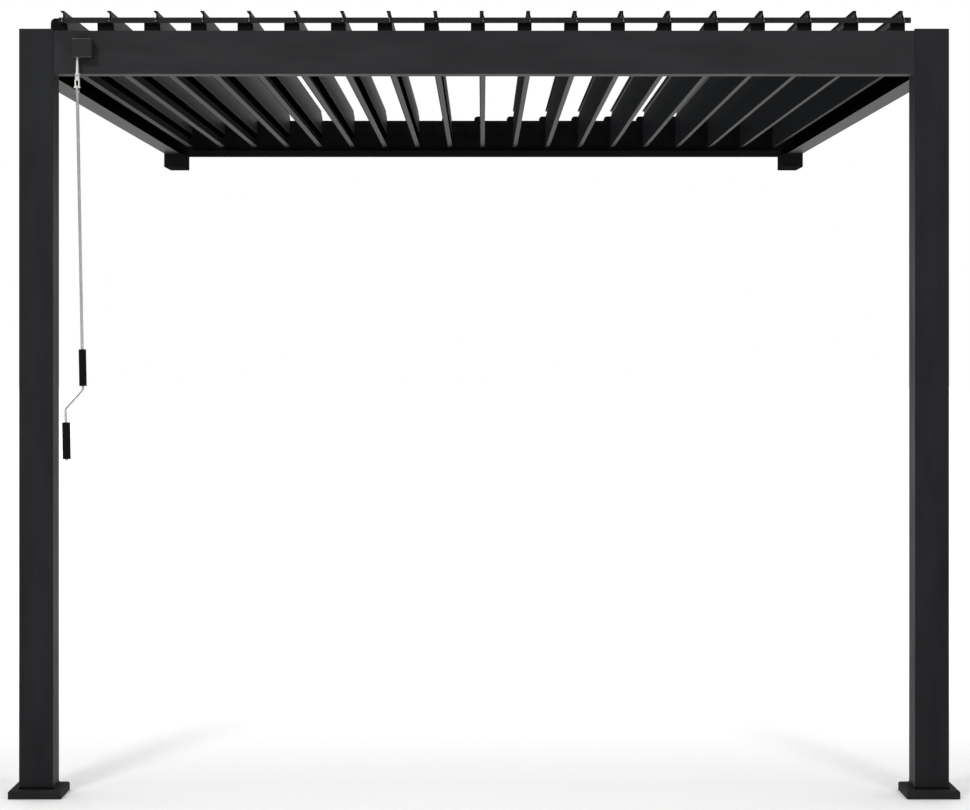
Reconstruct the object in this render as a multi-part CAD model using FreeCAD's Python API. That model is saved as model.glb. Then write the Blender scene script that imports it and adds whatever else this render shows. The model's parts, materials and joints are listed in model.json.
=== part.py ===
import FreeCAD, Part
import math
import os

from FreeCAD import Vector

# Wall-mounted louvered pergola. X runs along the wall, Y points into the wall, Z points up.
# Y is 0 on the wall. Heights are counted from the floor here, and every piece is lowered by
# ORIGIN_HEIGHT when it is written, so that the origin lies on the wall face of the rear beam.

# Driving dimensions, in millimetres
WIDTH = 3000.0
DEPTH = 3540.0
CLEAR_HEIGHT = 2334.0
LOUVERS = 19

POST = 110.0
POST_EDGE_R = 2.0
POST_CAP_T = 6.0
FOOT = 170.0
FOOT_HEIGHT = 27.0
FOOT_CHAMFER = 4.0
BEAM_HEIGHT = 140.0
BEAM_INSET = 25.0
BEAM_EDGE_R = 2.5
WEB_T = 16.0
GUTTER_W = 56.0
SHEET_T = 3.0
LIP_HEIGHT = 25.0
FLASHING_HEIGHT = 31.0
FLASHING_T = 6.0
BRACKET_W = 90.0
BRACKET_L = 220.0
BRACKET_DROP = 63.0
BRACKET_CHAMFER = 3.0
WALL_BOLT_R = 5.5
WALL_BOLT_DX = 160.0
WALL_BOLT_DZ = 70.0
WALL_BOLT_SPREAD = 259.0

# Louvers. Their sections are drawn about the pivot, in the open position.
PIVOT_DROP = 16.0
PIVOT_R = 4.0
PIVOT_GAP_LEFT = 68.0
PIVOT_GAP_RIGHT = 123.0
BLADE_BOTTOM = -86.0
BLADE_TOP = 88.5
FLANGE_T = 3.0
FLANGE_OUT = 33.0
FACE_OUT = 32.0
LIP_T = 3.0
LIP_LOW = -26.0
POCKET_TOP = 10.0
HOOK_T = 4.0
NOTCH_GAP = 100.0
NOTCH_TOP = 50.0
LUG_GAP = 50.0
LUG_T = 14.0
EAR_R = 16.0
EAR_TOP = 62.0
EAR_SIDE = -15.5
BORE_DEPTH = 11.0
PIN_END_GAP = 1.0
FIT = 0.05

# Link bar
LINK_X = 24.5
LINK_Z = 50.7
LINK_PIN_R = 2.5
BAR_GAP = 30.0
BAR_T = 6.0
BAR_BELOW = 6.2
BAR_ABOVE = 11.5
BAR_STUB_LEFT = 11.5
BAR_STUB_RIGHT = 22.0
BAR_END_R = 3.0

# Gearbox and crank
GEARBOX_SHIFT = 99.5
GEARBOX_W = 65.0
GEARBOX_H = 62.0
GEARBOX_D = 45.0
GEARBOX_RISE = 48.0
GEARBOX_R = 6.0
SPINDLE_SHIFT = 17.5
SPINDLE_GAP = 24.0
SPINDLE_R = 4.0
SPINDLE_FLARE = 1.5
SPINDLE_DEPTH = 28.0
JOINT_DROP = 45.0
YOKE_R = 8.5
YOKE_TOP = 44.0
YOKE_SLOT_TOP = 22.0
YOKE_LUG = 4.2
YOKE_INNER = 4.0
CROSS_PIN_R = 2.0
CROSS_PIN_OUT = 2.0
CROSS_GAP = 0.2
FORK_R = 7.5
FORK_LUG = 3.2
FORK_INNER = 4.7
FORK_BASE = 10.0
FORK_END = 16.0
ROD_R = 5.0
ROD_BEND = 14.0
ROD_DROP = 976.0
ROD_LEAN = 19.0
ARM_DROP = 61.0
ARM_SIDE = 55.5
HANDLE_DROP = 164.0
HANDLE_LEAN = 3.0
GRIP_R = 12.0
LOWER_GRIP_R = 13.0
GRIP_LENGTH = 118.0
GRIP_CHAMFER = 2.0
UPPER_GRIP_RISE = 15.0
LOWER_GRIP_RISE = 5.0

# Values worked out from the driving dimensions
FRONT = -DEPTH
BEAM_BOTTOM = CLEAR_HEIGHT
BEAM_TOP = BEAM_BOTTOM + BEAM_HEIGHT
LIP_TOP = BEAM_BOTTOM + LIP_HEIGHT
BEAM_W = WEB_T + GUTTER_W
SIDE_OUT = WIDTH / 2 - BEAM_INSET
SIDE_WEB = SIDE_OUT - WEB_T
SIDE_LIP = SIDE_OUT - BEAM_W
POST_IN = WIDTH / 2 - POST
ORIGIN_HEIGHT = BEAM_BOTTOM + BEAM_HEIGHT / 2
PIVOT_HEIGHT = BEAM_TOP - PIVOT_DROP
FIRST_PIVOT = PIVOT_GAP_LEFT - SIDE_WEB
PITCH = (2 * SIDE_WEB - PIVOT_GAP_LEFT - PIVOT_GAP_RIGHT) / (LOUVERS - 1)
PIVOT_X = [FIRST_PIVOT + PITCH * i for i in range(LOUVERS)]
WALL_BOLT_X = (WALL_BOLT_SPREAD - SIDE_WEB, 0.0, SIDE_WEB - WALL_BOLT_SPREAD)
GEARBOX_X = GEARBOX_SHIFT - POST_IN
GEARBOX_BOTTOM = BEAM_BOTTOM + GEARBOX_RISE
SPINDLE_X = GEARBOX_X - SPINDLE_SHIFT
SPINDLE_Y = FRONT - SPINDLE_GAP
JOINT = Vector(SPINDLE_X, SPINDLE_Y, BEAM_BOTTOM - JOINT_DROP)
ELBOW = JOINT + Vector(ROD_LEAN, 0, -ROD_DROP)
ARM_END = ELBOW + Vector(-ARM_SIDE, 0, -ARM_DROP)
HANDLE_END = ARM_END + Vector(HANDLE_LEAN, 0, -HANDLE_DROP)


def box(x0, x1, y0, y1, z0, z1):
    """A box between two opposite corners, given in any order."""
    low = Vector(min(x0, x1), min(y0, y1), min(z0, z1))
    return Part.makeBox(abs(x1 - x0), abs(y1 - y0), abs(z1 - z0), low)


def rod_y(x, z, radius, y0, y1):
    """A round pin along Y."""
    return Part.makeCylinder(radius, y1 - y0, Vector(x, y0, z), Vector(0, 1, 0))


def rod_z(x, y, radius, z0, z1):
    """A round bar along Z."""
    return Part.makeCylinder(radius, z1 - z0, Vector(x, y, z0))


def rod_between(start, end, radius):
    """A round bar between two points."""
    run = end - start
    return Part.makeCylinder(radius, run.Length, start, run)


def bent_rod(points, bend, radius):
    """A round rod along straight runs, with its corners bent to an arc."""
    edges = []
    here = points[0]
    for corner, after in zip(points[1:-1], points[2:]):
        back = (here - corner).normalize()
        ahead = (after - corner).normalize()
        half = back.getAngle(ahead) / 2
        start = corner + back * (bend / math.tan(half))
        end = corner + ahead * (bend / math.tan(half))
        middle = corner + (back + ahead).normalize() * (bend / math.sin(half) - bend)
        edges.append(Part.LineSegment(here, start).toShape())
        edges.append(Part.Arc(start, middle, end).toShape())
        here = end
    edges.append(Part.LineSegment(here, points[-1]).toShape())
    section = Part.Wire(Part.makeCircle(radius, points[0], points[1] - points[0]))
    return Part.Wire(edges).makePipeShell([section], True, False)


def outline(points):
    """A closed wire in the XZ plane. A point given as a pair of pairs is an arc to its end."""
    edges = []
    here = Vector(points[0][0], 0, points[0][1])
    first = here
    for point in points[1:]:
        if isinstance(point[0], tuple):
            middle = Vector(point[0][0], 0, point[0][1])
            end = Vector(point[1][0], 0, point[1][1])
            edges.append(Part.Arc(here, middle, end).toShape())
        else:
            end = Vector(point[0], 0, point[1])
            edges.append(Part.LineSegment(here, end).toShape())
        here = end
    if here.distanceToPoint(first) > 1e-6:
        edges.append(Part.LineSegment(here, first).toShape())
    return Part.Wire(edges)


def extrude_y(points, y0, y1):
    """A profile of the XZ plane, drawn out from y0 to y1."""
    solid = Part.Face(outline(points)).extrude(Vector(0, y1 - y0, 0))
    solid.translate(Vector(0, y0, 0))
    return solid


def join(solids):
    """One solid made of touching solids."""
    return solids[0].multiFuse(solids[1:]).removeSplitter()


def export(name, shape):
    """Write one piece, lowered so that the origin is at the middle of the wall face."""
    placed = shape.copy()
    placed.translate(Vector(0, 0, -ORIGIN_HEIGHT))
    placed.exportStep("parts/" + name + ".step")


def foot(side):
    """The square shoe under a post, with its upper edges chamfered."""
    middle = side * (WIDTH - POST) / 2
    centre_y = FRONT + POST / 2
    half = FOOT / 2
    block = box(middle - half, middle + half, centre_y - half, centre_y + half, 0, FOOT_HEIGHT)
    upper = [e for e in block.Edges if all(v.Z > FOOT_HEIGHT - 0.1 for v in e.Vertexes)]
    return block.makeChamfer(FOOT_CHAMFER, upper)


def corner_arms(side, z0, z1):
    """The angle that is left of a post beside the gutters: its front and its outer wall."""
    front = box(side * POST_IN, side * WIDTH / 2, FRONT, FRONT + WEB_T, z0, z1)
    outer = box(side * SIDE_WEB, side * WIDTH / 2, FRONT, FRONT + POST, z0, z1)
    return front.fuse(outer)


def round_uprights(shape, side):
    """The rounded upright edges of a post section, the two at the front and the two behind."""
    xs = (side * POST_IN, side * WIDTH / 2)
    ys = (FRONT, FRONT + POST)
    edges = [e for e in shape.Edges if abs(e.Vertexes[0].Z - e.Vertexes[-1].Z) > POST_EDGE_R
             and min(abs(e.Vertexes[0].X - x) for x in xs) < 0.01
             and min(abs(e.Vertexes[0].Y - y) for y in ys) < 0.01]
    return shape.makeFillet(POST_EDGE_R, edges)


def front_bores():
    """The blind bores behind the front face, one for each louver's pivot pin."""
    inner = FRONT + WEB_T
    bores = [rod_y(x, PIVOT_HEIGHT, PIVOT_R + FIT, inner - BORE_DEPTH, inner) for x in PIVOT_X]
    return Part.makeCompound(bores)


def post(side):
    """A square post. Level with the beams it opens into the corner of the gutters."""
    column = box(side * POST_IN, side * WIDTH / 2, FRONT, FRONT + POST, FOOT_HEIGHT,
                 BEAM_BOTTOM + SHEET_T)
    arms = corner_arms(side, BEAM_BOTTOM, BEAM_TOP)
    inner_lip = box(side * POST_IN, side * (POST_IN + SHEET_T), FRONT + BEAM_W - SHEET_T,
                    FRONT + POST, BEAM_BOTTOM, LIP_TOP)
    rear_lip = box(side * POST_IN, side * (SIDE_LIP + SHEET_T), FRONT + POST - SHEET_T,
                   FRONT + POST, BEAM_BOTTOM, LIP_TOP)
    whole = round_uprights(join([column, arms, inner_lip, rear_lip]), side)
    return whole.cut(front_bores())


def post_cap(side):
    """The flat cap on the top of a post."""
    return round_uprights(corner_arms(side, BEAM_TOP, BEAM_TOP + POST_CAP_T).removeSplitter(), side)


def front_beam():
    """The front beam: a web, and a gutter behind it, with a blind bore for each louver pin."""
    lip_y = FRONT + BEAM_W
    web = box(-POST_IN, POST_IN, FRONT, FRONT + WEB_T, BEAM_BOTTOM, BEAM_TOP)
    floor = box(-POST_IN, POST_IN, FRONT, lip_y, BEAM_BOTTOM, BEAM_BOTTOM + SHEET_T)
    lip = box(-POST_IN, POST_IN, lip_y - SHEET_T, lip_y, BEAM_BOTTOM, LIP_TOP)
    body = join([web, floor, lip])
    face_edges = [e for e in body.Edges if all(v.Y < FRONT + 0.1 for v in e.Vertexes)]
    return body.makeFillet(BEAM_EDGE_R, face_edges).cut(front_bores())


def rear_beam():
    """The wall beam: a web on the wall, and a gutter in front of it."""
    lip_y = -BEAM_W
    web = box(-SIDE_WEB, SIDE_WEB, -WEB_T, 0, BEAM_BOTTOM, BEAM_TOP)
    floor = box(-SIDE_LIP, SIDE_LIP, lip_y, 0, BEAM_BOTTOM, BEAM_BOTTOM + SHEET_T)
    lip = box(-SIDE_LIP, SIDE_LIP, lip_y, lip_y + SHEET_T, BEAM_BOTTOM, LIP_TOP)
    cuts = [rod_y(x, PIVOT_HEIGHT, PIVOT_R + FIT, -WEB_T, BORE_DEPTH - WEB_T) for x in PIVOT_X]
    for x in WALL_BOLT_X:
        for dx in (-WALL_BOLT_DX / 2, WALL_BOLT_DX / 2):
            for dz in (-WALL_BOLT_DZ / 2, WALL_BOLT_DZ / 2):
                cuts.append(rod_y(x + dx, ORIGIN_HEIGHT + dz, WALL_BOLT_R, -WEB_T, 0))
    return join([web, floor, lip]).cut(Part.makeCompound(cuts))


def side_beam(side):
    """A side beam from the post to the wall: a web, and a gutter on its inner side."""
    y0 = FRONT + POST
    web = box(side * SIDE_WEB, side * SIDE_OUT, y0, 0, BEAM_BOTTOM, BEAM_TOP)
    floor = box(side * SIDE_LIP, side * SIDE_OUT, y0, 0, BEAM_BOTTOM, BEAM_BOTTOM + SHEET_T)
    lip = box(side * SIDE_LIP, side * (SIDE_LIP + SHEET_T), y0, SHEET_T - BEAM_W, BEAM_BOTTOM,
              LIP_TOP)
    gutter_end = box(side * SIDE_LIP, side * SIDE_WEB, -WEB_T, 0, BEAM_BOTTOM, BEAM_TOP)
    return join([web, floor, lip]).cut(gutter_end)


def wall_flashing():
    """The upright strip on the rear beam, against the wall."""
    return box(-SIDE_WEB, SIDE_WEB, -FLASHING_T, 0, BEAM_TOP, BEAM_TOP + FLASHING_HEIGHT)


def wall_bracket(side):
    """The block that carries the rear end of a side beam, its lower edges chamfered."""
    outer = side * SIDE_OUT
    bottom = BEAM_BOTTOM - BRACKET_DROP
    block = box(outer, outer - side * BRACKET_W, -BRACKET_L, 0, bottom, BEAM_BOTTOM)
    lower = [e for e in block.Edges
             if all(v.Z < bottom + 0.1 for v in e.Vertexes) and min(v.Y for v in e.Vertexes) < -1]
    return block.makeChamfer(BRACKET_CHAMFER, lower)


def blade_profile():
    """A louver's section: a sloping flange, a wall, a pocket behind a hanging lip, and a hook."""
    low = BLADE_BOTTOM
    high = BLADE_TOP
    under = high - HOOK_T
    wall_foot = low + FLANGE_T + 2
    wall_top = LIP_LOW - 15
    inside = FACE_OUT - LIP_T
    return [(12, low), (FLANGE_OUT, low + 3.5), (FLANGE_OUT, low + 3.5 + FLANGE_T), (15, wall_foot),
            ((14.6, (wall_foot + wall_top) / 2), (15, wall_top)), (17, wall_top + 3),
            (17, POCKET_TOP), (inside, POCKET_TOP), (inside, LIP_LOW),
            (inside + LIP_T / 2, LIP_LOW - 0.5), (FACE_OUT, LIP_LOW + 12),
            ((31.4, 20), (28.5, high - 20)), (26, high - 11), (26, high - 1.5),
            ((25.56, high - 0.44), (24.5, high)), (13.3 + HOOK_T / 2, high),
            ((13.3, high - HOOK_T / 2), (13.3 + HOOK_T / 2, under)), (20.5, under),
            (21.5, under - 1), (21.5, high - 20), (14.5, high - 30)]


def lug_profile():
    """A louver's end cap, with a round ear at the left for the pivot pin."""
    bend = EAR_R * (1 - 0.5 ** 0.5)
    return [(10, -68), (29, -68), (30.5, -40), (30.5, EAR_TOP - 20), (29.5, EAR_TOP),
            (EAR_SIDE + EAR_R, EAR_TOP),
            ((EAR_SIDE + bend, EAR_TOP - bend), (EAR_SIDE, EAR_TOP - EAR_R)), (EAR_SIDE, -12)]


def core_profile():
    """The core that an end cap pushes into the end of its blade."""
    return [(13, -62), (28.5, -62), (30.5, LIP_LOW), (30.5, EAR_TOP - 20), (29, EAR_TOP - 1),
            (16, EAR_TOP - 1), (14.2, 40)]


def blade():
    """The extruded blade, notched at both ends for the cores of its end caps."""
    inset = LUG_GAP + LUG_T
    bottom = BLADE_BOTTOM - 1
    side = 40
    front_notch = box(-side, side, FRONT + inset - 1, FRONT + NOTCH_GAP, bottom, NOTCH_TOP)
    rear_notch = box(-side, side, -NOTCH_GAP, 1 - inset, bottom, NOTCH_TOP)
    return extrude_y(blade_profile(), FRONT + inset, -inset).cut(front_notch).cut(rear_notch)


def louver(index):
    """One blade with its two end caps, its two pivot pins and its link pin."""
    seat = 2.0
    lug_front = FRONT + LUG_GAP
    lug_rear = -LUG_GAP
    pin_front = FRONT + WEB_T - BORE_DEPTH + PIN_END_GAP
    pin_rear = BORE_DEPTH - WEB_T - PIN_END_GAP
    pieces = [blade(),
              extrude_y(core_profile(), lug_front + LUG_T - seat, FRONT + NOTCH_GAP + seat),
              extrude_y(core_profile(), -NOTCH_GAP - seat, lug_rear - LUG_T + seat),
              extrude_y(lug_profile(), lug_front, lug_front + LUG_T),
              extrude_y(lug_profile(), lug_rear - LUG_T, lug_rear),
              rod_y(0, 0, PIVOT_R, pin_front, lug_front + seat),
              rod_y(0, 0, PIVOT_R, lug_rear - seat, pin_rear),
              rod_y(LINK_X, LINK_Z, LINK_PIN_R, FRONT + BAR_GAP - seat, lug_front + seat)]
    shape = join(pieces)
    shape.translate(Vector(PIVOT_X[index], 0, PIVOT_HEIGHT))
    return shape


def link_bar():
    """The flat bar that joins the link pins of all louvers."""
    y0 = FRONT + BAR_GAP
    z = PIVOT_HEIGHT + LINK_Z
    x0 = PIVOT_X[0] + LINK_X - BAR_STUB_LEFT
    x1 = PIVOT_X[-1] + LINK_X + BAR_STUB_RIGHT
    bar = box(x0, x1, y0, y0 + BAR_T, z - BAR_BELOW, z + BAR_ABOVE)
    corners = [e for e in bar.Edges if abs(e.Vertexes[0].Y - e.Vertexes[-1].Y) > BAR_T - 0.1]
    bar = bar.makeFillet(BAR_END_R, corners)
    holes = [rod_y(x + LINK_X, z, LINK_PIN_R + FIT, y0, y0 + BAR_T) for x in PIVOT_X]
    return bar.cut(Part.makeCompound(holes))


def gearbox():
    """The worm gearbox on the front beam, with the bore that the crank's spindle turns in."""
    x0 = GEARBOX_X - GEARBOX_W / 2
    top = GEARBOX_BOTTOM + GEARBOX_H
    block = box(x0, x0 + GEARBOX_W, FRONT - GEARBOX_D, FRONT, GEARBOX_BOTTOM, top)
    corners = [e for e in block.Edges if abs(e.Vertexes[0].Y - e.Vertexes[-1].Y) > GEARBOX_D - 1]
    block = block.makeFillet(GEARBOX_R, corners)
    rim = [e for e in block.Edges if all(v.Y < FRONT - GEARBOX_D + 0.1 for v in e.Vertexes)]
    block = block.makeFillet(GEARBOX_R / 2, rim)
    bore = rod_z(SPINDLE_X, SPINDLE_Y, SPINDLE_R + FIT, GEARBOX_BOTTOM,
                 GEARBOX_BOTTOM + SPINDLE_DEPTH + PIN_END_GAP)
    return block.cut(bore)


def at_joint(shape):
    """Moves a shape that is drawn about the crossing of the universal joint's pins."""
    shape.translate(JOINT)
    return shape


def crank_yoke():
    """The tapered spindle of the gearbox and the upper yoke of the universal joint."""
    spindle_foot = GEARBOX_BOTTOM - JOINT.z
    head = rod_z(0, 0, YOKE_R, YOKE_SLOT_TOP, YOKE_TOP)
    taper = Part.makeCone(SPINDLE_R + SPINDLE_FLARE, SPINDLE_R, spindle_foot - YOKE_TOP,
                          Vector(0, 0, YOKE_TOP))
    spindle = rod_z(0, 0, SPINDLE_R, spindle_foot, spindle_foot + SPINDLE_DEPTH)
    neck = box(-YOKE_R, YOKE_R, -YOKE_LUG, YOKE_LUG, 0, YOKE_SLOT_TOP)
    eye = Part.makeCylinder(YOKE_LUG, 2 * YOKE_R, Vector(-YOKE_R, 0, 0), Vector(1, 0, 0))
    round_off = rod_z(0, 0, YOKE_R, -YOKE_LUG, YOKE_SLOT_TOP)
    slot = box(-YOKE_INNER, YOKE_INNER, -YOKE_R, YOKE_R, -YOKE_LUG, YOKE_SLOT_TOP)
    hole = Part.makeCylinder(CROSS_PIN_R + FIT, 2 * YOKE_R, Vector(-YOKE_R, 0, 0), Vector(1, 0, 0))
    cheeks = neck.fuse(eye).common(round_off).cut(slot).cut(hole)
    return at_joint(join([head, taper, spindle, cheeks]))


def crank_cross():
    """The cross block of the universal joint with its two crossing pins."""
    half_x = YOKE_INNER - CROSS_GAP
    half_y = FORK_INNER - CROSS_GAP
    block = box(-half_x, half_x, -half_y, half_y, -half_x, half_x)
    reach_x = YOKE_R + CROSS_PIN_OUT
    along_x = Part.makeCylinder(CROSS_PIN_R, 2 * reach_x, Vector(-reach_x, 0, 0), Vector(1, 0, 0))
    along_y = Part.makeCylinder(CROSS_PIN_R, 2 * FORK_R, Vector(0, -FORK_R, 0), Vector(0, 1, 0))
    return at_joint(join([block, along_x, along_y]))


def crank_rod():
    """The lower fork, the long rod, the offset arm and the handle that the lower grip is on."""
    eye = Part.makeCylinder(FORK_LUG, 2 * FORK_R, Vector(0, -FORK_R, 0), Vector(0, 1, 0))
    neck = box(-FORK_LUG, FORK_LUG, -FORK_R, FORK_R, -FORK_BASE, 0)
    slot = box(-FORK_R, FORK_R, -FORK_INNER, FORK_INNER, -FORK_BASE, FORK_LUG)
    hole = Part.makeCylinder(CROSS_PIN_R + FIT, 2 * FORK_R, Vector(0, -FORK_R, 0), Vector(0, 1, 0))
    round_off = rod_z(0, 0, FORK_R, -FORK_BASE, FORK_LUG)
    cheeks = at_joint(neck.fuse(eye).common(round_off).cut(slot).cut(hole))
    base = at_joint(rod_z(0, 0, FORK_R, -FORK_END - 1, -FORK_BASE))
    start = JOINT + (ELBOW - JOINT).normalize() * FORK_END
    return join([cheeks, base, bent_rod([start, ELBOW, ARM_END, HANDLE_END], ROD_BEND, ROD_R)])


def grip(low, high, rise, radius):
    """A plastic sleeve that turns on the bar between two points, a little above the lower one."""
    run = (high - low).normalize()
    start = low + run * rise
    end = start + run * GRIP_LENGTH
    sleeve = rod_between(start, end, radius)
    ends = [e for e in sleeve.Edges if e.Closed]
    sleeve = sleeve.makeChamfer(GRIP_CHAMFER, ends)
    return sleeve.cut(rod_between(start - run, end + run, ROD_R + FIT))


def main():
    os.makedirs("parts", exist_ok=True)
    for name, side in (("left", -1), ("right", 1)):
        export("foot_" + name, foot(side))
        export("post_" + name, post(side))
        export("post_cap_" + name, post_cap(side))
        export("side_beam_" + name, side_beam(side))
        export("wall_bracket_" + name, wall_bracket(side))
    export("front_beam", front_beam())
    export("rear_beam", rear_beam())
    export("wall_flashing", wall_flashing())
    for index in range(LOUVERS):
        export("louver_%02d" % (index + 1), louver(index))
    export("link_bar", link_bar())
    export("gearbox", gearbox())
    export("crank_yoke", crank_yoke())
    export("crank_cross", crank_cross())
    export("crank_rod", crank_rod())
    export("upper_grip", grip(ELBOW, JOINT, UPPER_GRIP_RISE, GRIP_R))
    export("lower_grip", grip(HANDLE_END, ARM_END, LOWER_GRIP_RISE, LOWER_GRIP_R))


main()
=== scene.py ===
import json
import math

import bmesh
import bpy
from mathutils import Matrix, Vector


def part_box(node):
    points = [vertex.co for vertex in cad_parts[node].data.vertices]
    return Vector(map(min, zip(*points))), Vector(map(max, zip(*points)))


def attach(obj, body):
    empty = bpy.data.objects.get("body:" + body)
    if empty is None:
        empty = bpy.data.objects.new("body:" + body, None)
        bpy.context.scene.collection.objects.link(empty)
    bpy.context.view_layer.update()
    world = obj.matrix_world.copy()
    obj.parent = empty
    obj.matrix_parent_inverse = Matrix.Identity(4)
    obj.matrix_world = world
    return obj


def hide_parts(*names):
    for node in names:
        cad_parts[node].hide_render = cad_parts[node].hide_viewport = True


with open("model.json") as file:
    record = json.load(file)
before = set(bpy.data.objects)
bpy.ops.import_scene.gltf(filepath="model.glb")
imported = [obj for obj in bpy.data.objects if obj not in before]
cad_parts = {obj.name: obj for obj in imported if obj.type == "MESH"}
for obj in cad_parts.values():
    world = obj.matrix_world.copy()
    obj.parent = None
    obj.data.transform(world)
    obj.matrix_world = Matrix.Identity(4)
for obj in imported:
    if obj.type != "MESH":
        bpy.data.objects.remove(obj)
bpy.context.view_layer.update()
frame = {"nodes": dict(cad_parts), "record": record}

# Sizes and places of the solids that the new pieces and finishes follow, in metres
LOUVERS = 19
PITCH = 0.1515
FIRST_PIVOT_X = -1.391
PIVOT_Z = 0.054
LINK_PIN = Vector((0.0245, 0.0507))
BAR_FRONT = -3.510
BEAM_BACK = -3.524
LUG_FRONT = -3.490
LUG_REAR = -0.050
REAR_WEB = -0.016
WALL_BOLT_X = (-1.200, 0.0, 1.200)
WALL_BOLT_DX = 0.160
WALL_BOLT_DZ = 0.070
SPINDLE = Vector((-1.308, -3.564))
COUPLING_R = 0.0085
ROD_R = 0.005
UPPER_LEAN = -1.115
LOWER_LEAN = -1.048
POST_HALF = 0.055
POST_X = 1.445
POST_Y = -3.485
SHOE_TOP = -2.377
FLOOR_Z = -2.404
SIDE_WEB_X = 1.4745
SIDE_BEAM_BOTTOM = -0.0695

# Where a louver's finishes meet. Reach is measured along it from the roof's middle, and
# X from the left edge of its own pitch, where LOUVER_START is the first one's.
ROOF_MIDDLE_Y = -1.770
BLADE_REACH = 1.670
CAP_REACH = 1.7055
PIN_REACH = 1.7201
CAP_TOP = 0.1045
LOUVER_START = FIRST_PIVOT_X - 0.030
# Where painted shade lies on a louver: its ceiling side and the pocket under the blade
WALL_SIDE = 0.0444
CEILING_SIDE = 0.0452
POCKET_X = 0.0525
POCKET_HALF = 0.0081
POCKET_Z = 0.039
POCKET_RISE = 0.0267
# Where the painted highlight along the lip's edge lies
GLINT_X = 0.0602
GLINT_Z = 0.034
GLINT_HALF = 0.0055

# Sizes of the new pieces, in metres
HEAD_H = 0.0012
LINK_SCREW_R = 0.0031
CLIP_SCREW_R = 0.0022
CLIP_SCREW_UP = 0.0078
CLIP_UP = 0.0028
CLIP_W = 0.0105
CLIP_T = 0.0012
CLIP_H = 0.0160
CLIP_CROWN = 0.0003
SLEEVE_R = 0.0075
SLEEVE_PLAY = 0.0006
WASHER_R = 0.0105
WASHER_T = 0.0018
WASHER_CROWN = 0.0004
HEXAGON_R = 0.0098
HEXAGON_H = 0.0062
BOLT_SHORT = 0.001
SET_SCREW_R = 0.0024
SET_SCREW_L = 0.002
SET_SCREW_Z = -0.079
SET_SCREW_SUNK = 0.0007
BAND_H = 0.0070
BAND_T = 0.0024
BAND_ROUND = 0.004
GRIP_RIM = 0.0016
FLUTES = 24
FLUTE_DEPTH = 0.0007
FIT_GAP = 0.0001

# Values that several finishes share
POLYESTER_IOR = 1.48
NYLON_IOR = 1.50
COAT_GRAIN = 650.0
MOULD_GRAIN = 900.0
GRIP_GRAIN = 1100.0
BUMP_DEPTH = 0.0002
ALONG_X = (0.25, 1.0, 1.0)
ALONG_Z = (1.0, 1.0, 0.25)


# Materials

def linear(code):
    """An sRGB hex colour as linear values."""
    parts = [int(code[i:i + 2], 16) / 255 for i in (1, 3, 5)]
    return [c / 12.92 if c <= 0.04045 else ((c + 0.055) / 1.055) ** 2.4 for c in parts] + [1.0]


def add_node(tree, kind, settings=None, inputs=None, links=None):
    """Adds a node. inputs sets its sockets, and links joins them to (node, output) pairs."""
    node = tree.nodes.new(kind)
    for key, value in (settings or {}).items():
        setattr(node, key, value)
    for key, value in (inputs or {}).items():
        node.inputs[key].default_value = value
    for key, (source, output) in (links or {}).items():
        tree.links.new(source.outputs[output], node.inputs[key])
    return node


def new_material(name):
    """An empty material, with its node tree, its Object coordinates and its output."""
    material = bpy.data.materials.new(name)
    material.use_nodes = True
    tree = material.node_tree
    tree.nodes.clear()
    where = add_node(tree, "ShaderNodeTexCoord")
    output = add_node(tree, "ShaderNodeOutputMaterial")
    return material, tree, where, output


def powder_coat(name, dark, light, rough, sheen, stretch):
    """Polyester powder coat, sprayed dry and baked on aluminium: a fine, slightly uneven
    grain that breaks up the gloss, with a faint long ripple under it. The grain of about
    0.3 mm is too fine to show, so it is drawn at 1.5 mm. stretch draws the long ripple out
    along the extrusion."""
    material, tree, where, output = new_material(name)
    grain = add_node(tree, "ShaderNodeTexNoise", None,
                     {"Scale": COAT_GRAIN, "Detail": 3.0, "Roughness": 0.6},
                     {"Vector": (where, "Object")})
    along = add_node(tree, "ShaderNodeMapping", None, {"Scale": stretch},
                     {"Vector": (where, "Object")})
    ripple = add_node(tree, "ShaderNodeTexNoise", None,
                      {"Scale": 14.0, "Detail": 4.0, "Roughness": 0.55},
                      {"Vector": (along, "Vector")})
    both = add_node(tree, "ShaderNodeMath", {"operation": "MULTIPLY_ADD"}, {1: 0.45},
                    {0: (grain, "Fac"), 2: (ripple, "Fac")})
    tone = add_node(tree, "ShaderNodeMapRange", None, {"From Min": 0.45, "From Max": 1.0},
                    {"Value": (both, "Value")})
    colour = add_node(tree, "ShaderNodeMix", {"data_type": "RGBA"},
                      {6: linear(dark), 7: linear(light)}, {0: (tone, "Result")})
    gloss = add_node(tree, "ShaderNodeMapRange", None,
                     {"To Min": rough + 0.07, "To Max": rough - 0.05},
                     {"Value": (tone, "Result")})
    bump = add_node(tree, "ShaderNodeBump", None, {"Strength": 0.18, "Distance": BUMP_DEPTH},
                    {"Height": (grain, "Fac")})
    shader = add_node(tree, "ShaderNodeBsdfPrincipled", None,
                      {"IOR": POLYESTER_IOR, "Specular IOR Level": sheen},
                      {"Base Color": (colour, 2), "Roughness": (gloss, "Result"),
                       "Normal": (bump, "Normal")})
    tree.links.new(shader.outputs[0], output.inputs[0])
    return material


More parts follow.
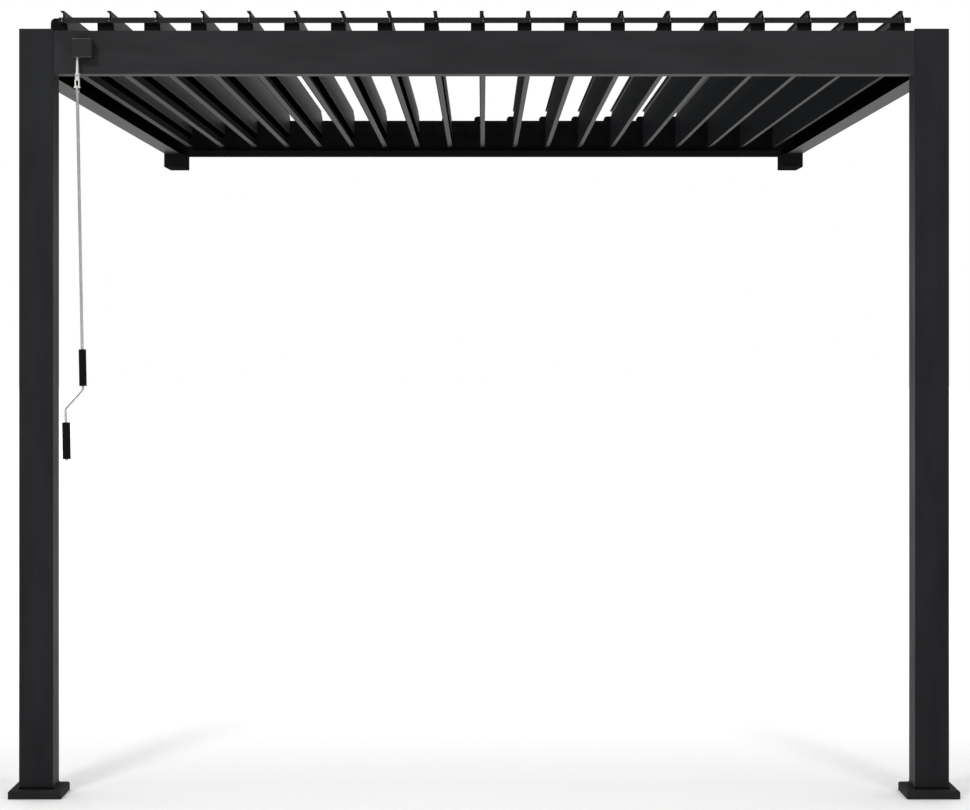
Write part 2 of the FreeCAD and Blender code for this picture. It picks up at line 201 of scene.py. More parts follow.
def louver_finish():
    """A louver is powder-coated aluminium with a moulded black nylon cap and a steel pin at
    each end. The finish changes where the blade ends, 100 mm from the front and the wall.
    The rain side is smooth and catches the sky, with a painted highlight along the lip's
    edge. The ceiling side is a little rougher, and its sheen is painted down to nearly none
    as shade, the back of its low wall little more. The pocket under the blade is painted
    near black and without sheen, as a painted shadow. Faint lines from the die, about 4 mm
    apart, run along the blade."""
    material, tree, where, output = new_material("powder_coated_louver")
    place = add_node(tree, "ShaderNodeSeparateXYZ", None, None, {"Vector": (where, "Object")})

    # The caps and pins, by their reach from the roof's middle
    middle = add_node(tree, "ShaderNodeMath", {"operation": "ADD"}, {1: -ROOF_MIDDLE_Y},
                      {0: (place, "Y")})
    reach = add_node(tree, "ShaderNodeMath", {"operation": "ABSOLUTE"}, None,
                     {0: (middle, "Value")})
    beyond = add_node(tree, "ShaderNodeMath", {"operation": "GREATER_THAN"}, {1: BLADE_REACH},
                      {0: (reach, "Value")})
    under = add_node(tree, "ShaderNodeMath", {"operation": "LESS_THAN"}, {1: CAP_TOP},
                     {0: (place, "Z")})
    core = add_node(tree, "ShaderNodeMath", {"operation": "MULTIPLY"}, None,
                    {0: (beyond, "Value"), 1: (under, "Value")})
    end = add_node(tree, "ShaderNodeMath", {"operation": "GREATER_THAN"}, {1: CAP_REACH},
                   {0: (reach, "Value")})
    cap = add_node(tree, "ShaderNodeMath", {"operation": "MAXIMUM"}, None,
                   {0: (core, "Value"), 1: (end, "Value")})
    pin = add_node(tree, "ShaderNodeMath", {"operation": "GREATER_THAN"}, {1: PIN_REACH},
                   {0: (reach, "Value")})

    # The ceiling side and the pocket, by their place in the louver's own pitch; both get painted
    # shade
    from_start = add_node(tree, "ShaderNodeMath", {"operation": "SUBTRACT"}, {1: LOUVER_START},
                          {0: (place, "X")})
    across = add_node(tree, "ShaderNodeMath", {"operation": "FLOORED_MODULO"}, {1: PITCH},
                      {0: (from_start, "Value")})
    ceiling = add_node(tree, "ShaderNodeMath", {"operation": "LESS_THAN"}, {1: CEILING_SIDE},
                       {0: (across, "Value")})
    inside = add_node(tree, "ShaderNodeMath", {"operation": "COMPARE"},
                      {1: POCKET_X, 2: POCKET_HALF}, {0: (across, "Value")})
    rise = add_node(tree, "ShaderNodeMath", {"operation": "SUBTRACT"}, {1: POCKET_Z},
                    {0: (place, "Z")})
    from_middle = add_node(tree, "ShaderNodeMath", {"operation": "ABSOLUTE"}, None,
                           {0: (rise, "Value")})
    level = add_node(tree, "ShaderNodeMath", {"operation": "LESS_THAN"}, {1: POCKET_RISE},
                     {0: (from_middle, "Value")})
    pocket = add_node(tree, "ShaderNodeMath", {"operation": "MULTIPLY"}, None,
                      {0: (inside, "Value"), 1: (level, "Value")})

    # Colour: coat, the pocket painted near black as painted shadow, nylon cap and steel pin
    along = add_node(tree, "ShaderNodeMapping", None, {"Scale": (1.0, 0.02, 1.0)},
                     {"Vector": (where, "Object")})
    lines = add_node(tree, "ShaderNodeTexNoise", None, {"Scale": 260.0, "Detail": 3.0},
                     {"Vector": (along, "Vector")})
    grain = add_node(tree, "ShaderNodeTexNoise", None, {"Scale": COAT_GRAIN, "Detail": 3.0},
                     {"Vector": (where, "Object")})
    both = add_node(tree, "ShaderNodeMath", {"operation": "MULTIPLY_ADD"}, {1: 0.5},
                    {0: (lines, "Fac"), 2: (grain, "Fac")})
    tone = add_node(tree, "ShaderNodeMapRange", None, {"From Min": 0.45, "From Max": 1.05},
                    {"Value": (both, "Value")})
    coat = add_node(tree, "ShaderNodeMix", {"data_type": "RGBA"},
                    {6: linear("#1d1e20"), 7: linear("#27292b")}, {0: (tone, "Result")})
    shaded_pocket = add_node(tree, "ShaderNodeMix", {"data_type": "RGBA"}, {7: linear("#050505")},
                    {0: (pocket, "Value"), 6: (coat, 2)})
    nylon = add_node(tree, "ShaderNodeMix", {"data_type": "RGBA"}, {7: linear("#1a1a1b")},
                     {0: (cap, "Value"), 6: (shaded_pocket, 2)})
    steel = add_node(tree, "ShaderNodeMix", {"data_type": "RGBA"}, {7: linear("#9a9b99")},
                     {0: (pin, "Value"), 6: (nylon, 2)})

    # Painted sheen: least on the ceiling side and the low wall's back as shade, most on the glint
    # The ceiling side's sheen is painted down to nearly none: painted shade
    shaded_side_sheen = add_node(tree, "ShaderNodeMapRange", None,
                     {"From Min": WALL_SIDE, "From Max": CEILING_SIDE,
                      "To Min": 0.0006, "To Max": 0.012},
                     {"Value": (across, "Value")})
    painted_side_sheen = add_node(tree, "ShaderNodeMapRange", None, {"To Min": 0.045},
                    {"Value": (ceiling, "Value"), "To Max": (shaded_side_sheen, "Result")})
    cap_and_shaded_pocket = add_node(tree, "ShaderNodeMath", {"operation": "MAXIMUM"}, None,
                    {0: (pocket, "Value"), 1: (cap, "Value")})
    # A painted highlight: more sheen in a thin band along the lip's edge
    outside = add_node(tree, "ShaderNodeMath", {"operation": "GREATER_THAN"}, {1: GLINT_X},
                       {0: (across, "Value")})
    lip = add_node(tree, "ShaderNodeMath", {"operation": "COMPARE"}, {1: GLINT_Z, 2: GLINT_HALF},
                   {0: (place, "Z")})
    glint = add_node(tree, "ShaderNodeMath", {"operation": "MULTIPLY"}, None,
                    {0: (outside, "Value"), 1: (lip, "Value")})
    drawn = add_node(tree, "ShaderNodeMath", {"operation": "MULTIPLY_ADD"}, {1: 0.30},
                     {0: (glint, "Value"), 2: (painted_side_sheen, "Result")})
    sheen = add_node(tree, "ShaderNodeMapRange", None, {"To Max": 0.0},
                     {"Value": (cap_and_shaded_pocket, "Value"), "To Min": (drawn, "Value")})
    uneven = add_node(tree, "ShaderNodeMapRange", None, {"To Min": 0.52, "To Max": 0.44},
                      {"Value": (tone, "Result")})
    gloss = add_node(tree, "ShaderNodeMath", {"operation": "MULTIPLY_ADD"}, {1: 0.06},
                     {0: (ceiling, "Value"), 2: (uneven, "Result")})
    bump = add_node(tree, "ShaderNodeBump", None, {"Strength": 0.12, "Distance": BUMP_DEPTH},
                    {"Height": (both, "Value")})
    shader = add_node(tree, "ShaderNodeBsdfPrincipled", None, {"IOR": POLYESTER_IOR},
                      {"Base Color": (steel, 2), "Metallic": (pin, "Value"),
                       "Roughness": (gloss, "Value"), "Specular IOR Level": (sheen, "Result"),
                       "Normal": (bump, "Normal")})
    tree.links.new(shader.outputs[0], output.inputs[0])
    return material


def gutter_shaded_finish():
    """The side beams: powder coat outside and below, as on the frame. Their gutters and inner
    walls are painted near black and without sheen, as painted shade."""
    material, tree, where, output = new_material("powder_coated_side_beam")
    place = add_node(tree, "ShaderNodeSeparateXYZ", None, None, {"Vector": (where, "Object")})
    reach = add_node(tree, "ShaderNodeMath", {"operation": "ABSOLUTE"}, None,
                     {0: (place, "X")})
    outer = add_node(tree, "ShaderNodeMath", {"operation": "GREATER_THAN"}, {1: SIDE_WEB_X},
                     {0: (reach, "Value")})
    lower = add_node(tree, "ShaderNodeMath", {"operation": "LESS_THAN"}, {1: SIDE_BEAM_BOTTOM},
                     {0: (place, "Z")})
    coated = add_node(tree, "ShaderNodeMath", {"operation": "MAXIMUM"}, None,
                      {0: (outer, "Value"), 1: (lower, "Value")})
    grain = add_node(tree, "ShaderNodeTexNoise", None, {"Scale": COAT_GRAIN, "Detail": 3.0},
                     {"Vector": (where, "Object")})
    coat = add_node(tree, "ShaderNodeMix", {"data_type": "RGBA"},
                    {6: linear("#212123"), 7: linear("#2a2a2c")}, {0: (grain, "Fac")})
    # coated marks the outside and underside; everywhere else is painted near black as shade
    colour = add_node(tree, "ShaderNodeMix", {"data_type": "RGBA"}, {6: linear("#060606")},
                      {0: (coated, "Value"), 7: (coat, 2)})
    sheen = add_node(tree, "ShaderNodeMapRange", None, {"To Min": 0.0, "To Max": 0.145},
                     {"Value": (coated, "Value")})
    gloss = add_node(tree, "ShaderNodeMapRange", None, {"To Min": 0.58, "To Max": 0.47},
                     {"Value": (grain, "Fac")})
    bump = add_node(tree, "ShaderNodeBump", None, {"Strength": 0.18, "Distance": BUMP_DEPTH},
                    {"Height": (grain, "Fac")})
    shader = add_node(tree, "ShaderNodeBsdfPrincipled", None, {"IOR": POLYESTER_IOR},
                      {"Base Color": (colour, 2), "Roughness": (gloss, "Result"),
                       "Specular IOR Level": (sheen, "Result"), "Normal": (bump, "Normal")})
    tree.links.new(shader.outputs[0], output.inputs[0])
    return material


def moulded_plastic(name, dark, light, rough, sheen, grain_scale):
    """Injection-moulded black plastic from a spark-eroded mould: an even, very fine grain
    with a soft sheen. The grain of about 0.1 mm is drawn at about 1 mm so that it shows."""
    material, tree, where, output = new_material(name)
    grain = add_node(tree, "ShaderNodeTexNoise", None, {"Scale": grain_scale, "Detail": 2.0},
                     {"Vector": (where, "Object")})
    flow = add_node(tree, "ShaderNodeTexNoise", None, {"Scale": 12.0, "Detail": 3.0},
                    {"Vector": (where, "Object")})
    colour = add_node(tree, "ShaderNodeMix", {"data_type": "RGBA"},
                      {6: linear(dark), 7: linear(light)}, {0: (flow, "Fac")})
    gloss = add_node(tree, "ShaderNodeMapRange", None,
                     {"To Min": rough + 0.08, "To Max": rough - 0.06},
                     {"Value": (grain, "Fac")})
    bump = add_node(tree, "ShaderNodeBump", None, {"Strength": 0.2, "Distance": BUMP_DEPTH},
                    {"Height": (grain, "Fac")})
    shader = add_node(tree, "ShaderNodeBsdfPrincipled", None,
                      {"IOR": NYLON_IOR, "Specular IOR Level": sheen},
                      {"Base Color": (colour, 2), "Roughness": (gloss, "Result"),
                       "Normal": (bump, "Normal")})
    tree.links.new(shader.outputs[0], output.inputs[0])
    return material


def zinc_plate(name, dark, light, rough):
    """Zinc-plated, drawn steel bar: pale grey metal, a little cloudy, with fine draw lines
    along the bar about 1 mm apart."""
    material, tree, where, output = new_material(name)
    cloud = add_node(tree, "ShaderNodeTexNoise", None, {"Scale": 45.0, "Detail": 4.0},
                     {"Vector": (where, "Object")})
    along = add_node(tree, "ShaderNodeMapping", None, {"Scale": (1.0, 1.0, 0.04)},
                     {"Vector": (where, "Object")})
    lines = add_node(tree, "ShaderNodeTexNoise", None, {"Scale": 900.0, "Detail": 2.0},
                     {"Vector": (along, "Vector")})
    colour = add_node(tree, "ShaderNodeMix", {"data_type": "RGBA"},
                      {6: linear(dark), 7: linear(light)}, {0: (cloud, "Fac")})
    gloss = add_node(tree, "ShaderNodeMapRange", None,
                     {"To Min": rough + 0.08, "To Max": rough - 0.06},
                     {"Value": (lines, "Fac")})
    bump = add_node(tree, "ShaderNodeBump", None, {"Strength": 0.12, "Distance": BUMP_DEPTH},
                    {"Height": (lines, "Fac")})
    shader = add_node(tree, "ShaderNodeBsdfPrincipled", None, {"Metallic": 1.0},
                      {"Base Color": (colour, 2), "Roughness": (gloss, "Result"),
                       "Normal": (bump, "Normal")})
    tree.links.new(shader.outputs[0], output.inputs[0])
    return material


FRAME_COAT = powder_coat("powder_coated_frame", "#202022", "#292a2c", 0.52, 0.055, ALONG_Z)
# The front beam: the frame's coat painted lighter and with more sheen, as painted light
LIT_FRONT_BEAM_COAT = powder_coat("powder_coat_front_beam_lit", "#252527", "#303032", 0.52, 0.07, ALONG_X)
# The rear beam, flashing and brackets: the frame's coat painted darker, without sheen, as shade
SHADED_WALL_SIDE_COAT = powder_coat("powder_coat_wall_side_shaded", "#19191a", "#222223", 0.65, 0.0, ALONG_X)
BAR_COAT = powder_coat("painted_link_bar", "#1e1f20", "#27282b", 0.45, 0.10, (0.2, 1.0, 1.0))
LOUVER_COAT = louver_finish()
SHOE_PLASTIC = moulded_plastic("moulded_nylon", "#252527", "#313133", 0.60, 0.01, MOULD_GRAIN)
BOX_PLASTIC = moulded_plastic("moulded_gearbox_cover", "#212123", "#2b2b2d", 0.22, 0.32,
                              MOULD_GRAIN)
GRIP_PLASTIC = moulded_plastic("moulded_grip_plastic", "#0d0d0d", "#141414", 0.45, 0.06,
                               GRIP_GRAIN)
GUTTER_SHADED_COAT = gutter_shaded_finish()
ZINC_STEEL = zinc_plate("zinc_plated_steel", "#c3c4bf", "#e1e2dd", 0.32)
COUPLING_ZINC = zinc_plate("zinc_plated_coupling", "#d6d7d2", "#eaebe6", 0.42)
SCREW_STEEL = zinc_plate("zinc_plated_screw", "#5c5d5b", "#7d7e7b", 0.38)
BOLT_BLACK = powder_coat("blackened_bolt_steel", "#101011", "#161617", 0.45, 0.04, (1.0, 1.0, 1.0))

# The finish of each material slot, and of the nodes that differ from their slot
FINISH = {"frame_coat": FRAME_COAT, "louver_coat": LOUVER_COAT, "bar_coat": BAR_COAT,
          "shoe_plastic": SHOE_PLASTIC, "crank_steel": ZINC_STEEL, "grip_plastic": GRIP_PLASTIC}
SPECIAL = {"front_beam": LIT_FRONT_BEAM_COAT, "rear_beam": SHADED_WALL_SIDE_COAT, "wall_flashing": SHADED_WALL_SIDE_COAT,
           "wall_bracket_left": SHADED_WALL_SIDE_COAT, "wall_bracket_right": SHADED_WALL_SIDE_COAT,
           "side_beam_left": GUTTER_SHADED_COAT, "side_beam_right": GUTTER_SHADED_COAT, "gearbox": BOX_PLASTIC,
           "crank_yoke": COUPLING_ZINC, "crank_cross": COUPLING_ZINC}
for part in frame["record"]["subparts"]:
    node = frame["nodes"][part["node"]]
    finish = SPECIAL.get(part["node"], FINISH[part["material_slot"]])
    for place in range(len(node.material_slots)):
        node.material_slots[place].material = finish


# Pieces

TO_THE_FRONT = (math.radians(90), 0, 0)


def start_clean():
    """Leaves edit mode's and the frame's selections behind before a primitive is added."""
    bpy.ops.object.select_all(action="DESELECT")


def pick_faces(test):
    """In edit mode, selects the faces whose centre and normal pass the test, and no others."""
    bpy.ops.mesh.select_mode(type="FACE")
    bpy.ops.mesh.select_all(action="DESELECT")
    shape = bmesh.from_edit_mesh(bpy.context.object.data)
    for face in shape.faces:
        face.select_set(test(face.calc_center_median(), face.normal))
    bmesh.update_edit_mesh(bpy.context.object.data)


def hand_over(name, material, body):
    """Places the piece in its mesh, names it, and gives it its finish and its body."""
    piece = bpy.context.object
    bpy.ops.object.transform_apply(location=True, rotation=True, scale=True)
    piece.name = name
    piece.data.name = name
    piece.data.materials.clear()
    piece.data.materials.append(material)
    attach(piece, body)
    return piece


def copy_piece(piece, name, step, body):
    """A copy of a piece with its own mesh, moved along by step."""
    twin = piece.copy()
    twin.data = piece.data.copy()
    twin.parent = None
    twin.matrix_world.identity()
    twin.name = name
    twin.data.name = name
    bpy.context.collection.objects.link(twin)
    for vertex in twin.data.vertices:
        vertex.co += step
    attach(twin, body)
    return twin


def pan_screw(x, front, z, radius):
    """A pan-head screw with a dished drive, standing on a plane that faces the front."""
    start_clean()
    bpy.ops.mesh.primitive_cylinder_add(vertices=20, radius=radius, depth=HEAD_H,
                                        rotation=TO_THE_FRONT,
                                        location=(x, front - HEAD_H / 2, z))
    bpy.ops.object.transform_apply(location=True, rotation=True, scale=True)
    bpy.ops.object.mode_set(mode="EDIT")
    pick_faces(lambda centre, normal: normal.y < -0.9)
    bpy.ops.mesh.inset(thickness=radius * 0.2, depth=0.0005)
    bpy.ops.mesh.inset(thickness=radius * 0.3, depth=0.0002)
    bpy.ops.mesh.inset(thickness=radius * 0.06, depth=-0.0008)
    bpy.ops.object.mode_set(mode="OBJECT")
    return bpy.context.object


def link_screws():
    """Small pan-head screws that keep the link bar on the louvers' pins."""
    pan_screw(FIRST_PIVOT_X + LINK_PIN.x, BAR_FRONT - CLIP_T - CLIP_CROWN - FIT_GAP,
              PIVOT_Z + LINK_PIN.y, LINK_SCREW_R)
    first = hand_over("link_screw_01", SCREW_STEEL, "louver_01")
    for index in range(1, LOUVERS):
        number = "%02d" % (index + 1)
        copy_piece(first, "link_screw_" + number, Vector((PITCH * index, 0, 0)),
                   "louver_" + number)


def bar_clips():
    """Nylon clips on the link bar's front, one over each louver's pin, each held by a screw."""
    x = FIRST_PIVOT_X + LINK_PIN.x
    z = PIVOT_Z + LINK_PIN.y
    pan_screw(x, BAR_FRONT - CLIP_T - CLIP_CROWN - FIT_GAP, z + CLIP_SCREW_UP, CLIP_SCREW_R)
    first = hand_over("clip_screw_01", SCREW_STEEL, "link_bar")
    for index in range(1, LOUVERS):
        copy_piece(first, "clip_screw_%02d" % (index + 1), Vector((PITCH * index, 0, 0)),
                   "link_bar")
    start_clean()
    bpy.ops.mesh.primitive_cube_add(size=1.0, location=(x, BAR_FRONT - CLIP_T / 2, z + CLIP_UP),
                                    scale=(CLIP_W, CLIP_T, CLIP_H))
    bpy.ops.object.transform_apply(location=True, rotation=True, scale=True)
    bpy.ops.object.mode_set(mode="EDIT")
    pick_faces(lambda centre, normal: normal.y < -0.9)
    bpy.ops.mesh.inset(thickness=0.0005, depth=0.0)
    bpy.ops.transform.translate(value=(0, -CLIP_CROWN, 0))
    bpy.ops.object.mode_set(mode="OBJECT")
    first = hand_over("bar_clip_01", GRIP_PLASTIC, "link_bar")
    for index in range(1, LOUVERS):
        copy_piece(first, "bar_clip_%02d" % (index + 1), Vector((PITCH * index, 0, 0)),
                   "link_bar")


def pivot_sleeves(name, y0, y1):
    """Nylon spacer sleeves on the pivot pins, between the beam and the louvers' caps."""
    start_clean()
    bpy.ops.mesh.primitive_cylinder_add(vertices=24, radius=SLEEVE_R, depth=y1 - y0,
                                        rotation=TO_THE_FRONT,
                                        location=(FIRST_PIVOT_X, (y0 + y1) / 2, PIVOT_Z))
    bpy.ops.object.transform_apply(location=True, rotation=True, scale=True)
    bpy.ops.object.mode_set(mode="EDIT")
    pick_faces(lambda centre, normal: abs(normal.y) > 0.9)
    bpy.ops.mesh.inset(thickness=0.0010, depth=0.0, use_individual=True)
    bpy.ops.mesh.extrude_region_move()
    bpy.ops.transform.resize(value=(0.8, 1.0, 0.8),
                             center_override=(FIRST_PIVOT_X, 0, PIVOT_Z))
    bpy.ops.object.mode_set(mode="OBJECT")
    first = hand_over(name + "_01", SHOE_PLASTIC, "louver_01")
    for index in range(1, LOUVERS):
        number = "%02d" % (index + 1)
        copy_piece(first, name + "_" + number, Vector((PITCH * index, 0, 0)),
                   "louver_" + number)


def wall_bolts():
    """Blackened hexagon bolts with washers, in the wall beam's holes."""
    x = WALL_BOLT_X[0] - WALL_BOLT_DX / 2
    z = -WALL_BOLT_DZ / 2
    start_clean()
    bpy.ops.mesh.primitive_cylinder_add(vertices=32, radius=WASHER_R, depth=WASHER_T,
                                        rotation=TO_THE_FRONT,
                                        location=(x, REAR_WEB - WASHER_T / 2, z))
    washer = bpy.context.object
    bpy.ops.object.transform_apply(location=True, rotation=True, scale=True)
    bpy.ops.object.mode_set(mode="EDIT")
    pick_faces(lambda centre, normal: normal.y < -0.9)
    bpy.ops.mesh.inset(thickness=0.0005, depth=WASHER_CROWN)
    pick_faces(lambda centre, normal: normal.y > 0.9)
    bpy.ops.mesh.inset(thickness=0.0055, depth=0.0)
    shank = {"value": (0, -REAR_WEB - BOLT_SHORT, 0)}
    bpy.ops.mesh.extrude_region_move(TRANSFORM_OT_translate=shank)
    bpy.ops.object.mode_set(mode="OBJECT")
    start_clean()
    head_y = REAR_WEB - WASHER_T - WASHER_CROWN - HEXAGON_H / 2
    bpy.ops.mesh.primitive_cylinder_add(vertices=6, radius=HEXAGON_R, depth=HEXAGON_H,
                                        rotation=TO_THE_FRONT, location=(x, head_y, z))
    bpy.ops.object.transform_apply(location=True, rotation=True, scale=True)
    bpy.ops.object.mode_set(mode="EDIT")
    pick_faces(lambda centre, normal: normal.y < -0.9)
    bpy.ops.mesh.inset(thickness=0.0010, depth=0.0006)
    bpy.ops.object.mode_set(mode="OBJECT")
    washer.select_set(True)
    bpy.ops.object.join()
    first = hand_over("wall_bolt_1", BOLT_BLACK, "frame")
    number = 1
    for group in WALL_BOLT_X:
        for across in (0.0, WALL_BOLT_DX):
            for up in (0.0, WALL_BOLT_DZ):
                step = Vector((group - WALL_BOLT_X[0] + across, 0, up))
                if step.length > 0:
                    number += 1
                    copy_piece(first, "wall_bolt_%d" % number, step, "frame")


def post_foot_band(name, x):
    """A thin dark band of black plastic round a post's foot, on the shoe, with round corners."""
    start_clean()
    outer = 2 * (POST_HALF + BAND_T)
    bpy.ops.mesh.primitive_cube_add(size=1.0, location=(x, POST_Y, SHOE_TOP + BAND_H / 2),
                                    scale=(outer, outer, BAND_H))
    bpy.ops.object.transform_apply(location=True, rotation=True, scale=True)
    bpy.ops.object.mode_set(mode="EDIT")
    bpy.ops.mesh.select_mode(type="EDGE")
    bpy.ops.mesh.select_all(action="DESELECT")
    shape = bmesh.from_edit_mesh(bpy.context.object.data)
    for edge in shape.edges:
        low, high = edge.verts[0].co, edge.verts[1].co
        edge.select_set(abs(low.z - high.z) > BAND_H / 2)
    bmesh.update_edit_mesh(bpy.context.object.data)
    bpy.ops.mesh.bevel(offset=BAND_ROUND, segments=3)
    pick_faces(lambda centre, normal: abs(normal.z) > 0.9)
    bpy.ops.mesh.inset(thickness=BAND_T - FIT_GAP, depth=0.0, use_individual=True)
    bpy.ops.mesh.bridge_edge_loops()
    pick_faces(lambda centre, normal: normal.z > 0.9)
    bpy.ops.mesh.inset(thickness=0.0005, depth=0.0003)
    bpy.ops.mesh.select_all(action="SELECT")
    bpy.ops.mesh.normals_make_consistent(inside=False)
    bpy.ops.object.mode_set(mode="OBJECT")
    hand_over(name, GRIP_PLASTIC, "frame")


def fluted_grip(name, node, body, lean):
    """A moulded grip with flutes along it, bored for the rod and rounded at both ends."""
    low, high = [Vector(corner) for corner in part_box(node)]
    middle = (low + high) / 2
    tilt = math.radians(lean)
    radius = (high.y - low.y) / 2
    length = (high.z - low.z - 2 * radius * abs(math.sin(tilt))) / math.cos(tilt)
    start_clean()
    bpy.ops.mesh.primitive_cylinder_add(vertices=2 * FLUTES, radius=radius, depth=length)
    bpy.ops.object.mode_set(mode="EDIT")
    pick_faces(lambda centre, normal: abs(normal.z) > 0.9)
    bpy.ops.mesh.inset(thickness=GRIP_RIM, depth=0.0, use_individual=True)
    bpy.ops.mesh.inset(thickness=radius - GRIP_RIM - ROD_R - FIT_GAP, depth=-0.0008,
                       use_individual=True)
    bpy.ops.mesh.bridge_edge_loops()
    flute = 2 * math.pi / FLUTES
    pick_faces(lambda centre, normal: abs(normal.z) < 0.1 and centre.xy.length > radius * 0.8
               and (math.atan2(centre.y, centre.x) % flute) < flute / 2)
    bpy.ops.mesh.inset(thickness=FLUTE_DEPTH / 2, depth=-FLUTE_DEPTH, use_individual=True)
    bpy.ops.mesh.select_all(action="SELECT")
    bpy.ops.mesh.normals_make_consistent(inside=False)
    bpy.ops.object.mode_set(mode="OBJECT")
    grip = bpy.context.object
    rounding = grip.modifiers.new("rounding", "BEVEL")
    rounding.width = 0.0007
    rounding.segments = 2
    rounding.limit_method = "ANGLE"
    rounding.angle_limit = math.radians(50)
    bpy.ops.object.modifier_apply(modifier="rounding")
    bpy.ops.object.shade_smooth_by_angle(angle=math.radians(40))
    grip.location = middle
    grip.rotation_euler = (0, tilt, 0)
    hand_over(name, GRIP_PLASTIC, body)
    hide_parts(node)


def coupling_screw():
    """The small socket set screw that holds the crank's coupling on the gearbox spindle."""
    y = SPINDLE.y - COUPLING_R + SET_SCREW_SUNK
    start_clean()
    bpy.ops.mesh.primitive_cylinder_add(vertices=24, radius=SET_SCREW_R, depth=SET_SCREW_L,
                                        rotation=TO_THE_FRONT,
                                        location=(SPINDLE.x, y, SET_SCREW_Z))
    bpy.ops.object.transform_apply(location=True, rotation=True, scale=True)
    bpy.ops.object.mode_set(mode="EDIT")
    pick_faces(lambda centre, normal: normal.y < -0.9)
    bpy.ops.mesh.inset(thickness=0.0004, depth=0.0002)
    bpy.ops.mesh.inset(thickness=0.0009, depth=0.0)
    bpy.ops.mesh.inset(thickness=0.0001, depth=-0.0009)
    bpy.ops.object.mode_set(mode="OBJECT")
    hand_over("coupling_set_screw", BOLT_BLACK, "crank_yoke")


link_screws()
bar_clips()
pivot_sleeves("pivot_sleeve_front", BEAM_BACK + SLEEVE_PLAY, LUG_FRONT - FIT_GAP)
pivot_sleeves("pivot_sleeve_rear", LUG_REAR + FIT_GAP, REAR_WEB - SLEEVE_PLAY)
wall_bolts()
coupling_screw()
post_foot_band("post_seal_left", -POST_X)
post_foot_band("post_seal_right", POST_X)
fluted_grip("upper_grip_fluted", "upper_grip", "upper_grip", UPPER_LEAN)
fluted_grip("lower_grip_fluted", "lower_grip", "lower_grip", LOWER_LEAN)


# Floor, light and camera

def white_floor(lift, far_glow, gloss_glow):
    """A pale floor. The camera sees it as pale as lift, so that only the soft shadows show on
    it, and far_glow makes it white behind the posts and all around. Gloss sees it brighter
    by gloss_glow."""
    start_clean()
    bpy.ops.mesh.primitive_plane_add(size=120.0, location=(0, 0, FLOOR_Z - 0.0005))
    floor = bpy.context.object
    floor.name = "studio_floor"
    material, tree, where, output = new_material("pale_floor")
    path = add_node(tree, "ShaderNodeLightPath")
    shade = add_node(tree, "ShaderNodeMapRange", None, {"To Min": 0.9, "To Max": lift},
                     {"Value": (path, "Is Camera Ray")})
    surface = add_node(tree, "ShaderNodeBsdfDiffuse", None, None, {"Color": (shade, "Result")})
    place = add_node(tree, "ShaderNodeSeparateXYZ", None, None, {"Vector": (where, "Object")})
    behind = add_node(tree, "ShaderNodeMapRange", None,
                      {"From Min": -3.3, "From Max": 0.5, "To Max": far_glow},
                      {"Value": (place, "Y")})
    away = add_node(tree, "ShaderNodeVectorMath", {"operation": "DISTANCE"},
                    {1: (0, ROOF_MIDDLE_Y, FLOOR_Z)}, {0: (where, "Object")})
    around = add_node(tree, "ShaderNodeMapRange", None,
                      {"From Min": 3.2, "From Max": 6.0, "To Max": far_glow},
                      {"Value": (away, "Value")})
    far = add_node(tree, "ShaderNodeMath", {"operation": "MAXIMUM"}, None,
                   {0: (behind, "Result"), 1: (around, "Result")})
    seen = add_node(tree, "ShaderNodeMath", {"operation": "MULTIPLY"}, None,
                    {0: (far, "Value"), 1: (path, "Is Camera Ray")})
    level = add_node(tree, "ShaderNodeMath", {"operation": "MULTIPLY_ADD"}, {1: gloss_glow},
                     {0: (path, "Is Glossy Ray"), 2: (seen, "Value")})
    glow = add_node(tree, "ShaderNodeEmission", None, None, {"Strength": (level, "Value")})
    total = add_node(tree, "ShaderNodeAddShader", None, None, {0: (surface, 0), 1: (glow, 0)})
    tree.links.new(total.outputs[0], output.inputs[0])
    floor.data.materials.append(material)


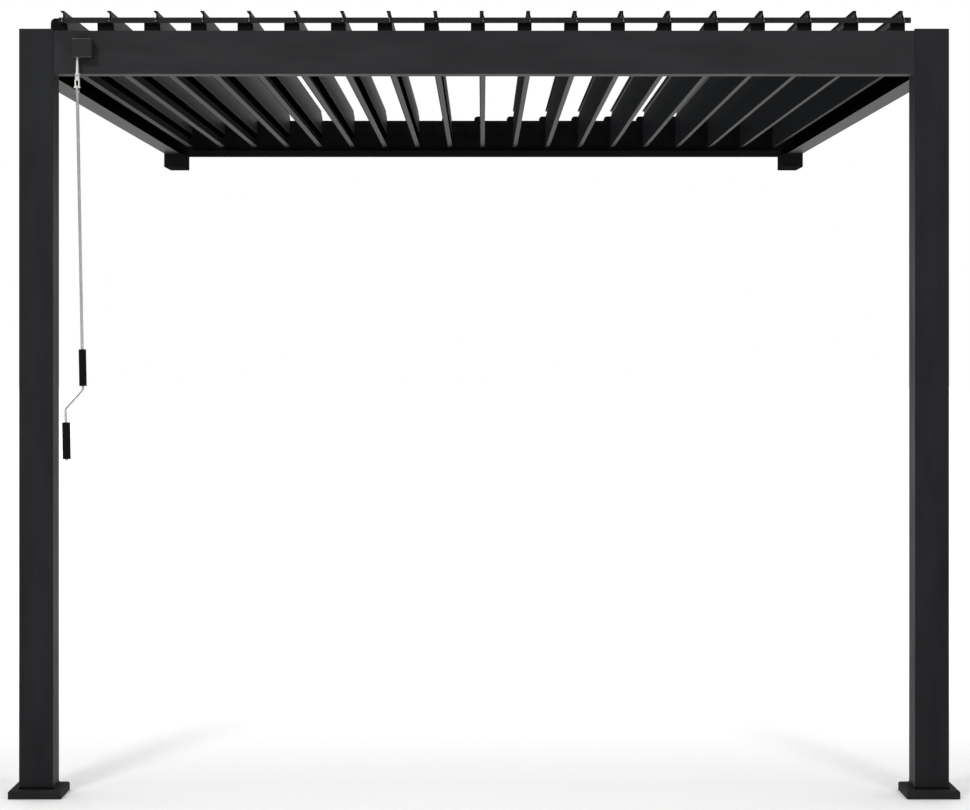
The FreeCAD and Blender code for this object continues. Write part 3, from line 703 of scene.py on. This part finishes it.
def studio_world(front_light, back_light, front, back):
    """Soft light all round, from front_light to back_light, so that more of it comes from
    behind. The camera sees white. Gloss sees a white backdrop behind the object up to a low
    height, a softbox overhead, and between them the dimmer room, from front to back."""
    world = bpy.data.worlds.new("studio")
    bpy.context.scene.world = world
    world.use_nodes = True
    tree = world.node_tree
    tree.nodes.clear()
    pale = linear("#ffffff")
    white = add_node(tree, "ShaderNodeBackground", None, {"Color": pale, "Strength": 1.0})
    path = add_node(tree, "ShaderNodeLightPath")
    where = add_node(tree, "ShaderNodeTexCoord")
    towards = add_node(tree, "ShaderNodeSeparateXYZ", None, None,
                       {"Vector": (where, "Generated")})
    level = add_node(tree, "ShaderNodeMapRange", None,
                     {"From Min": -0.5, "From Max": 0.9,
                      "To Min": front_light, "To Max": back_light},
                     {"Value": (towards, "Y")})
    light = add_node(tree, "ShaderNodeBackground", None, {"Color": pale},
                     {"Strength": (level, "Result")})
    behind = add_node(tree, "ShaderNodeMapRange", None,
                      {"From Min": -0.6, "From Max": 0.6, "To Min": front, "To Max": back},
                      {"Value": (towards, "Y")})
    dim = add_node(tree, "ShaderNodeBackground", None, {"Color": pale},
                   {"Strength": (behind, "Result")})
    height = add_node(tree, "ShaderNodeMath", {"operation": "MULTIPLY_ADD"}, {1: -0.13},
                      {0: (towards, "Y"), 2: (towards, "Z")})
    rise = add_node(tree, "ShaderNodeMapRange", None, {"From Min": 0.0, "From Max": 0.08},
                    {"Value": (height, "Value")})
    overhead = add_node(tree, "ShaderNodeMapRange", None, {"From Min": 0.55, "From Max": 0.85},
                        {"Value": (towards, "Z")})
    upper = add_node(tree, "ShaderNodeMixShader", None, None,
                     {0: (overhead, "Result"), 1: (dim, 0), 2: (white, 0)})
    gloss = add_node(tree, "ShaderNodeMixShader", None, None,
                     {0: (rise, "Result"), 1: (white, 0), 2: (upper, 0)})
    lit = add_node(tree, "ShaderNodeMixShader", None, None,
                   {0: (path, "Is Glossy Ray"), 1: (light, 0), 2: (gloss, 0)})
    seen = add_node(tree, "ShaderNodeMath", {"operation": "MAXIMUM"}, None,
                    {0: (path, "Is Camera Ray"), 1: (path, "Is Transmission Ray")})
    mix = add_node(tree, "ShaderNodeMixShader", None, None,
                   {0: (seen, "Value"), 1: (lit, 0), 2: (white, 0)})
    add_node(tree, "ShaderNodeOutputWorld", None, None, {"Surface": (mix, 0)})


def softbox(name, power, place, aim, size):
    """A round, soft studio lamp at a place, turned towards a point."""
    lamp = bpy.data.lights.new(name, "AREA")
    lamp.shape = "DISK"
    lamp.size = size
    lamp.energy = power
    box = bpy.data.objects.new(name, lamp)
    bpy.context.collection.objects.link(box)
    box.location = place
    box.rotation_euler = (Vector(place) - Vector(aim)).to_track_quat("Z", "Y").to_euler()


def front_camera():
    """The photograph's camera: level, 7.69 m in front of the posts and 1.48 m above the floor."""
    lens = bpy.data.cameras.new("front_camera")
    lens.sensor_width = 36.0
    lens.lens = 88.45
    lens.shift_x = 0.00295
    lens.shift_y = -0.0693
    lens.clip_end = 200.0
    camera = bpy.data.objects.new("front_camera", lens)
    bpy.context.collection.objects.link(camera)
    camera.location = (-0.0062, -11.226, -0.921)
    camera.rotation_euler = (math.radians(90), 0, 0)
    bpy.context.scene.camera = camera


white_floor(lift=0.98, far_glow=0.65, gloss_glow=0.40)
studio_world(front_light=0.36, back_light=1.60, front=0.06, back=0.60)
softbox("front_left_lamp", 126.0, (-2.9, -8.3, 2.5), (-1.45, -3.5, -0.8), 1.1)
softbox("front_right_lamp", 76.0, (2.9, -8.3, 2.5), (1.45, -3.5, -0.8), 1.1)
front_camera()
bpy.context.scene.view_settings.view_transform = "Standard"
